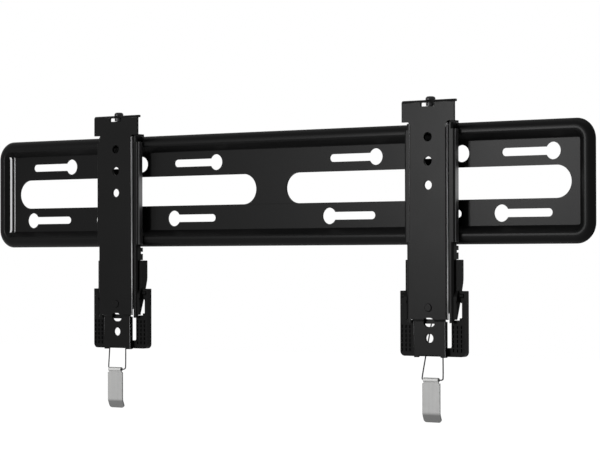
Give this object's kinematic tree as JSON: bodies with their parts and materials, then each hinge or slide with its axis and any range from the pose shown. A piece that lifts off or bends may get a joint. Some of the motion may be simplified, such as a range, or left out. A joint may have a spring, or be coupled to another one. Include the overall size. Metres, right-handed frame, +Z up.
{
  "type": "fixed tv wall bracket",
  "caption": "Low-profile wall bracket for a flat television: a slotted pressed steel rail with two hook-on arms, spring latches, height screws and prop-out stands.",
  "frame": {"origin": "centre of the wall plate's rear face, on the wall", "axes": "+X along the plate to the viewer's right, front faces -Y, +Z up"},
  "size_m": [0.762, 0.022, 0.3243],
  "materials": {
    "plate_steel": "satin",
    "bracket_steel": "satin",
    "screw_steel": "gloss",
    "spring_steel": "satin",
    "black_plastic": "matte",
    "cord": "matte",
    "tab_plastic": "satin"
  },
  "bodies": {
    "wall_plate": {"wall_plate": "plate_steel"},
    "left_carriage": {"left_hanger": "bracket_steel", "left_screw_nut": "screw_steel", "left_guide_yoke": "black_plastic", "left_stand_pins": "screw_steel", "left_latch_spring": "spring_steel"},
    "left_bracket": {"left_tv_bracket": "bracket_steel", "left_guide_rivet": "screw_steel", "left_rivet_washer": "screw_steel"},
    "left_screw": {"left_height_screw": "screw_steel", "left_screw_collar": "screw_steel"},
    "left_latch": {"left_release_latch": "bracket_steel", "left_pull_cord": "cord", "left_pull_tab": "tab_plastic"},
    "left_stand": {"left_kick_stand": "black_plastic"},
    "right_carriage": {"right_hanger": "bracket_steel", "right_screw_nut": "screw_steel", "right_guide_yoke": "black_plastic", "right_stand_pins": "screw_steel", "right_latch_spring": "spring_steel"},
    "right_bracket": {"right_tv_bracket": "bracket_steel", "right_guide_rivet": "screw_steel", "right_rivet_washer": "screw_steel"},
    "right_screw": {"right_height_screw": "screw_steel", "right_screw_collar": "screw_steel"},
    "right_latch": {"right_release_latch": "bracket_steel", "right_pull_cord": "cord", "right_pull_tab": "tab_plastic"},
    "right_stand": {"right_kick_stand": "black_plastic"}
  },
  "joints": [
    {"name": "left_arm_slide", "type": "slide", "parent": "wall_plate", "child": "left_carriage", "axis": [1, 0, 0], "range_m": [-0.1, 0.1]},
    {"name": "left_height_slide", "type": "slide", "parent": "left_carriage", "child": "left_bracket", "axis": [0, 0, 1], "range_m": [-0.005, 0.005]},
    {"name": "left_screw_turn", "type": "hinge", "parent": "left_bracket", "child": "left_screw", "pos_m": [-0.1963, -0.01515, 0.0835], "axis": [0, 0, 1], "range_deg": [-2260, 2260]},
    {"name": "left_latch_slide", "type": "slide", "parent": "left_carriage", "child": "left_latch", "axis": [0, 0, -1], "range_m": [0, 0.007], "stiffness_N_per_m": 400, "springref_m": -0.006, "deforming": ["left_latch_spring"]},
    {"name": "left_stand_swing", "type": "hinge", "parent": "left_carriage", "child": "left_stand", "pos_m": [-0.1963, -0.0112, -0.1112], "axis": [1, 0, 0], "range_deg": [0, 80]},
    {"name": "right_arm_slide", "type": "slide", "parent": "wall_plate", "child": "right_carriage", "axis": [1, 0, 0], "range_m": [-0.1, 0.1]},
    {"name": "right_height_slide", "type": "slide", "parent": "right_carriage", "child": "right_bracket", "axis": [0, 0, 1], "range_m": [-0.005, 0.005]},
    {"name": "right_screw_turn", "type": "hinge", "parent": "right_bracket", "child": "right_screw", "pos_m": [0.2037, -0.01515, 0.0835], "axis": [0, 0, 1], "range_deg": [-2260, 2260]},
    {"name": "right_latch_slide", "type": "slide", "parent": "right_carriage", "child": "right_latch", "axis": [0, 0, -1], "range_m": [0, 0.007], "stiffness_N_per_m": 400, "springref_m": -0.006, "deforming": ["right_latch_spring"]},
    {"name": "right_stand_swing", "type": "hinge", "parent": "right_carriage", "child": "right_stand", "pos_m": [0.2037, -0.0112, -0.1112], "axis": [1, 0, 0], "range_deg": [0, 80]}
  ],
  "couplings": [
    {"joint": "left_screw_turn", "follows": "left_height_slide", "rad_per_m": 7854},
    {"joint": "right_screw_turn", "follows": "right_height_slide", "rad_per_m": 7854}
  ]
}
